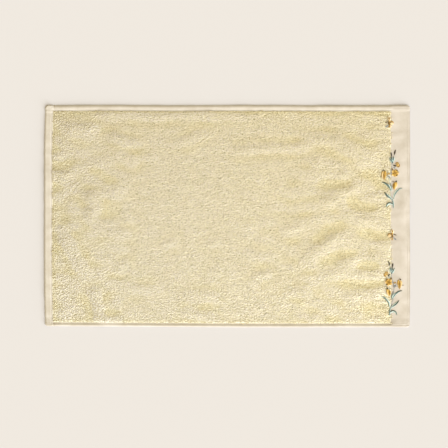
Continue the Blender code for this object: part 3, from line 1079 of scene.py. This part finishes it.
def clear_of_embroidery(a, b):
    """Loops are not made where a thread lies over them."""
    laid = [thread for made in threads.values() for thread in made]
    middles = np.array([(thread.start + thread.end) / 2 for thread in laid])
    free = np.ones(len(a), bool)
    close = np.where(a > middles[:, 0].min() - NEAR_THE_BAND)[0]
    along = a[close, None] - middles[None, :, 0]
    across = b[close, None] - middles[None, :, 1]
    free[close] = np.hypot(along, across).min(axis=1) > CLEAR_OF_THREADS
    return free


loop_a, loop_b = loop_feet()
free = clear_of_embroidery(loop_a, loop_b)
loop_a, loop_b = loop_a[free], loop_b[free]
print("pile loops:", len(loop_a))

# %% Shape and lay the loops
LOOP_SPAN = 1.9
LOOP_TURN = 0.45
LOOP_HIGH = 1.25
LOOP_LOWEST = 0.9
LOOP_HIGHEST = 2.6
LOOP_RADIUS = 0.49
LOOP_SIDES = 3
LOOP_ANGLES = np.radians([0.0, 48.0, 90.0, 132.0, 180.0])
LOOP_SHOULDERS = 0.5
LOOP_SUNK = 0.25
TUFT_SIZE = 2.8
TUFT_LEAN = 0.36
OWN_LEAN = 0.38
MOST_LEAN = 2.3
LEAN_LOWERS = 0.18
HEAP_SIZE = 3.6
HEAP_HIGH = 0.22
OWN_HIGH = 0.14
RUFFLE_SIZE = 24.0
RUFFLE_LEAST = 0.4
RUFFLE_MOST = 1.0
STROKED_DOWN = 0.35
BAND_TAPER = 14.0
CALMER_TURN = 0.7
CALMER_LEAN = 0.6
LOWER_BY_BAND = 0.25
PULLED = 0.2
PULLED_LEAN = 1.6
PULLED_SIZE = 4.6
PULLED_LONG = 7.0
PULLED_REACH = 80.0


def beside_band(a):
    """0 in the field, rising to 1 where the pile meets the band."""
    return np.interp(a, [PILE_RIGHT - BAND_TAPER, PILE_RIGHT], [0.0, 1.0])


def streaks(a, b):
    """Long level waves of pile, pulled straight by the band's tight weave: their lean and height."""
    strength = PULLED * np.interp(a, [PILE_RIGHT - PULLED_REACH, PILE_RIGHT - BAND_TAPER], [0.0, 1.0])
    beside = soft_waves(a / PULLED_LONG, b + PULLED_SIZE / 4, PULLED_SIZE, seed=31)
    crest = soft_waves(a / PULLED_LONG, b, PULLED_SIZE, seed=31)
    return PULLED_LEAN * strength * beside, strength * crest


def ruffled(a, b):
    """How much the loops stand up and lean about, in patches: a hand has stroked the rest flat."""
    return np.interp(soft_waves(a, b, RUFFLE_SIZE, seed=17), [-1.1, 1.1], [RUFFLE_LEAST, RUFFLE_MOST])


def loop_lines(a, b, dice):
    """Centre lines of leaning arches, in metres, and the direction square to each arch."""
    count = len(a)
    near_band = beside_band(a)
    turn = dice.normal(0, LOOP_TURN, count) * (1 - CALMER_TURN * near_band)
    foot_way = np.stack([np.cos(turn), np.sin(turn), np.zeros(count)], axis=-1)
    tuft = np.stack([soft_waves(a, b, TUFT_SIZE, seed=seed) for seed in (11, 12)], axis=-1)
    lean = TUFT_LEAN * tuft + OWN_LEAN * dice.normal(0, 1, (count, 2))
    pulled_lean, pulled_high = streaks(a, b)
    lean[:, 1] += pulled_lean
    lean = lean / np.maximum(1.0, np.linalg.norm(lean, axis=-1, keepdims=True) / MOST_LEAN)
    ruffle = ruffled(a, b)
    lean = lean * ruffle[:, None]
    uneven = HEAP_HIGH * soft_waves(a, b, HEAP_SIZE, seed=13) + OWN_HIGH * dice.normal(0, 1, count)
    high = LOOP_HIGH + uneven * ruffle - STROKED_DOWN * (1 - ruffle) + pulled_high
    high = high - LEAN_LOWERS * np.linalg.norm(lean, axis=-1)
    high = np.clip(high, LOOP_LOWEST, LOOP_HIGHEST) * (1 - LOWER_BY_BAND * near_band)
    lean = lean * (1 - CALMER_LEAN * near_band[:, None])
    crown = np.concatenate([lean, high[:, None]], axis=-1)
    swing = -np.cos(LOOP_ANGLES) * (1 + LOOP_SHOULDERS * np.sin(LOOP_ANGLES)) * LOOP_SPAN / 2
    lift = np.sin(LOOP_ANGLES)
    local = foot_way[:, None, :] * swing[None, :, None] + crown[:, None, :] * lift[None, :, None]
    feet = lay(a, b, -LOOP_SUNK)
    return feet[:, None, :] + local * MM, unit(np.cross(foot_way, crown))


def pile_piece(name, a, b, seed):
    dice = np.random.default_rng(seed)
    lines, square = loop_lines(a, b, dice)
    thickness = LOOP_RADIUS * dice.uniform(0.85, 1.15, (len(a), 1)) * MM
    radii = np.broadcast_to(thickness, (len(a), len(LOOP_ANGLES)))
    piece = tubes_object(name, lines, radii, LOOP_SIDES, across=square)
    tip = np.repeat(np.sin(LOOP_ANGLES), LOOP_SIDES)
    give_points(piece, "tip", np.tile(tip, len(a)))
    points_a_loop = len(LOOP_ANGLES) * LOOP_SIDES
    give_points(piece, "tone", np.repeat(1 - dice.uniform(0, 1, len(a)) ** 3, points_a_loop))
    # The hollow number says how much painted shade a loop gets in a hollow or beside a hem
    give_points(piece, "hollow", np.repeat(hollow_shade_share(a, b), points_a_loop))
    give_points(piece, "band_shade", np.repeat(beside_band(a), points_a_loop))
    print(name, triangles(piece), "triangles")
    return piece


PILE_DEEP = (0.76, 0.682, 0.488)
PILE_LIGHT = (0.89, 0.801, 0.683)
# Painted shade: the pile is painted a darker yellow towards the band, and darker still in its last rows,
# where shade falls at the seam
PILE_SHADE_BY_BAND = (0.80, 0.71, 0.57)
# Painted shade: the foot of every loop is painted darker, where shade falls deep in the pile
LOOP_FOOT_SHADE = (0.93, 0.905, 0.86)
# Painted shade: loops in hollows of the folds and beside the hems are painted darker and yellower, where
# shade falls
HOLLOW_SHADE = (0.96, 0.93, 0.72)
PATCH = (0.985, 0.975, 0.95)
PATCH_SCALE = 45.0
LAST_ROWS_SHADE = (0.92, 0.90, 0.84)
HOLLOW_SIZE = 14.0
HOLLOW_DEEP = 1.2
BESIDE_HEM = 0.6
BESIDE_HEM_WIDE = 5.0
BESIDE_NEAR_HEM = 1.8


def hollow_shade_share(a, b):
    """How much painted shade a loop gets: 0 on a crest and 1 in a hollow, from how far the cloth lies under
    the cloth around it. The loops beside a hem get it too, as shade falls beside the thicker hem."""
    x, y = outline(a, b)
    ways = np.arange(8) * pi / 4
    around = [rise(x + HOLLOW_SIZE * cos(way), y + HOLLOW_SIZE * sin(way)) for way in ways]
    from_near_hem = (b - PILE_NEAR) * BESIDE_NEAR_HEM
    from_hem = np.minimum(np.minimum(a - PILE_LEFT, PILE_FAR - b), from_near_hem)
    beside_hem = BESIDE_HEM * np.exp(-from_hem / BESIDE_HEM_WIDE)
    depth = sum(around) / len(ways) - rise(x, y)
    return np.clip(0.5 + beside_hem + depth / HOLLOW_DEEP, 0, 1)


def pile_finish():
    """One yellow for the whole yarn, with a shade of its own for each loop. Painted shade makes it darker
    at the loop feet, in hollows, beside the hems and near the band, and a painted light falloff makes it
    darker towards the left end and the far edge.
    """
    material, tree, shader = new_material("terry pile", 0.95, sheen=0.15)
    tip, tone, hollow, band_shade = [
        add(tree, "ShaderNodeAttribute", attribute_name=name).outputs["Fac"]
        for name in ("tip", "tone", "hollow", "band_shade")
    ]
    colour = blend_colours(tree, tone, PILE_DEEP, PILE_LIGHT)
    # Painted shade towards the band
    colour = blend_colours(tree, band_shade, colour, PILE_SHADE_BY_BAND)
    place = object_place(tree)
    shades = (
        # Painted shade at the foot of each loop
        ramp(tree, tip, (0.0, LOOP_FOOT_SHADE), (0.8, WHITE)),
        # Painted shade in hollows and beside the hems
        ramp(tree, hollow, (0.45, WHITE), (1.0, HOLLOW_SHADE)),
        ramp(tree, noise(tree, place, PATCH_SCALE), (0.35, PATCH), (0.65, WHITE)),
        # Painted shade in the last rows before the band
        ramp(tree, band_shade, (0.66, WHITE), (0.84, LAST_ROWS_SHADE)),
    )
    for shade in shades:
        colour = blend_colours(tree, 1.0, colour, shade, "MULTIPLY")
    # The pile also gets the painted light falloff, darker towards the left end and the far edge
    tree.links.new(painted_falloff(tree, place, colour), shader.inputs["Base Color"])
    return material


PILE_PARTS = ("pile_left_end", "pile_left_middle", "pile_right_middle", "pile_right_end")
terry = pile_finish()
cuts = np.quantile(loop_a, np.linspace(0, 1, len(PILE_PARTS) + 1))
cuts[-1] += 1
pile = []
for number, name in enumerate(PILE_PARTS):
    mine = (loop_a >= cuts[number]) & (loop_a < cuts[number + 1])
    pile.append(pile_piece(name, loop_a[mine], loop_b[mine], seed=40 + number))
    pile[-1].data.materials.append(terry)

# %% [markdown]
# ## Hem stitching
#
# A row of short machine stitches sits in the groove of each hem. They are cream thread too, so
# they show as a broken line of light and shade.

# %% Stitches in the grooves
STITCH = 2.3
STITCH_GAP = 0.7
STITCH_THICK = 0.36
STITCH_PUFF = 0.2
FREE_END = 2.0


def stitch_row(start, end):
    """Stitches along a straight row, in cloth measure."""
    start, end = np.array(start, float), np.array(end, float)
    length = np.linalg.norm(end - start)
    way = (end - start) / length
    places = np.arange(FREE_END, length - FREE_END - STITCH, STITCH + STITCH_GAP)
    ends = [(start + way * place, start + way * (place + STITCH)) for place in places]
    return [Thread(*pair, STITCH_PUFF, 0.5, 0.5) for pair in ends]


def in_groove(a):
    """A hem's stitches lie on the weave itself."""
    return np.zeros_like(a)


LEFT_ROW = LEFT + 9.4
FAR_ROW = FAR - 7.2
NEAR_ROW = NEAR + 5.2
RIGHT_ROW = RIGHT - 3.4
rows_of_stitches = (
    stitch_row((LEFT_ROW, NEAR), (LEFT_ROW, FAR))
    + stitch_row((RIGHT_ROW, NEAR), (RIGHT_ROW, FAR))
    + stitch_row((LEFT, FAR_ROW), (RIGHT, FAR_ROW))
    + stitch_row((LEFT, NEAR_ROW), (RIGHT, NEAR_ROW))
)
hem_stitching = lay_threads("hem_stitching", rows_of_stitches, STITCH_THICK, in_groove)
HEM_SHADES = ((0.56, 0.49, 0.38), (0.64, 0.57, 0.46), (0.72, 0.65, 0.55))
hem_stitching.data.materials.append(thread_finish("hem thread", HEM_SHADES))
print("hem stitches:", len(rows_of_stitches))

# %% [markdown]
# ## Telling the frame what stands for what
#
# The sheet, its pile and its threads all stand for the one solid towel and move with it.

# %% Ride and replace
SLOTS = {ground_cloth: "ground_weave", hem_stitching: "hem_stitching"}
SLOTS.update({piece: "terry_pile" for piece in pile})
SLOTS.update({embroidery[colour]: dye.slot for colour, dye in THREAD_DYES.items()})
for piece, slot in SLOTS.items():
    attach(piece, "root")
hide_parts("towel")

# %% [markdown]
# ## Table, light and camera
#
# The towel lies on a pale table. A broad soft light comes from the lower right, and a little of
# it comes in very low, so a wide faint shadow lies along the left and far edges. What the light
# misses is filled by a warm pale room. The light itself is a little cooler than the room, so
# hollows and shadows turn yellower as well as darker. The camera looks straight down through a
# long lens.

# %% Light
LIGHT_COLOUR = (0.805, 0.886, 1.0)
ROOM_COLOUR = (1.0, 0.90, 0.60)
ROOM_STRENGTH = 0.715
SoftLight = namedtuple("SoftLight", "name strength wide high comes_from")
SOFT_LIGHTS = (
    SoftLight("broad day", 5.085, 64.0, 35.0, -52.0),
    SoftLight("low window", 1.09, 24.0, 13.0, -44.0),
)


def make_light():
    for soft in SOFT_LIGHTS:
        light = bpy.data.lights.new(soft.name, "SUN")
        light.color = LIGHT_COLOUR
        light.energy = soft.strength
        light.angle = radians(soft.wide)
        holder = bpy.data.objects.new(soft.name, light)
        holder.rotation_euler = (radians(90 - soft.high), 0, radians(soft.comes_from + 90))
        bpy.context.scene.collection.objects.link(holder)
    world = bpy.data.worlds.new("pale room")
    world.use_nodes = True
    room = world.node_tree.nodes["Background"]
    room.inputs["Color"].default_value = (*ROOM_COLOUR, 1.0)
    room.inputs["Strength"].default_value = ROOM_STRENGTH
    bpy.context.scene.world = world


make_light()
bpy.context.scene.view_settings.view_transform = "Standard"

# %% Table
TABLE_COLOUR = (0.573, 0.532, 0.517)
TABLE_SIZE = 8.0
UNDER_THE_TOWEL = 0.2


def make_table():
    bpy.ops.mesh.primitive_plane_add(size=TABLE_SIZE, location=(0, 0, -UNDER_THE_TOWEL * MM))
    table = bpy.context.active_object
    table.name = "table"
    material, tree, shader = new_material("pale table", 0.9)
    shader.inputs["Specular IOR Level"].default_value = 0.1
    shader.inputs["Base Color"].default_value = (*TABLE_COLOUR, 1.0)
    table.data.materials.append(material)


make_table()

# %% Camera
IMAGE_SIDE = 448
MM_PER_PIXEL = 1.371
PHOTO_CENTRE_X = -4.3
PHOTO_CENTRE_Y = -10.6
LENS = 85.0


def make_camera():
    camera_data = bpy.data.cameras.new("camera")
    camera_data.lens = LENS
    camera = bpy.data.objects.new("camera", camera_data)
    bpy.context.scene.collection.objects.link(camera)
    seen = IMAGE_SIDE * MM_PER_PIXEL * MM
    distance = seen * LENS / camera_data.sensor_width
    camera.location = (PHOTO_CENTRE_X * MM, PHOTO_CENTRE_Y * MM, distance)
    bpy.context.scene.camera = camera
    return distance


print("camera height, m:", round(make_camera(), 3))

# %% [markdown]
# ## Update the scene

# %% Update the scene
bpy.context.view_layer.update()
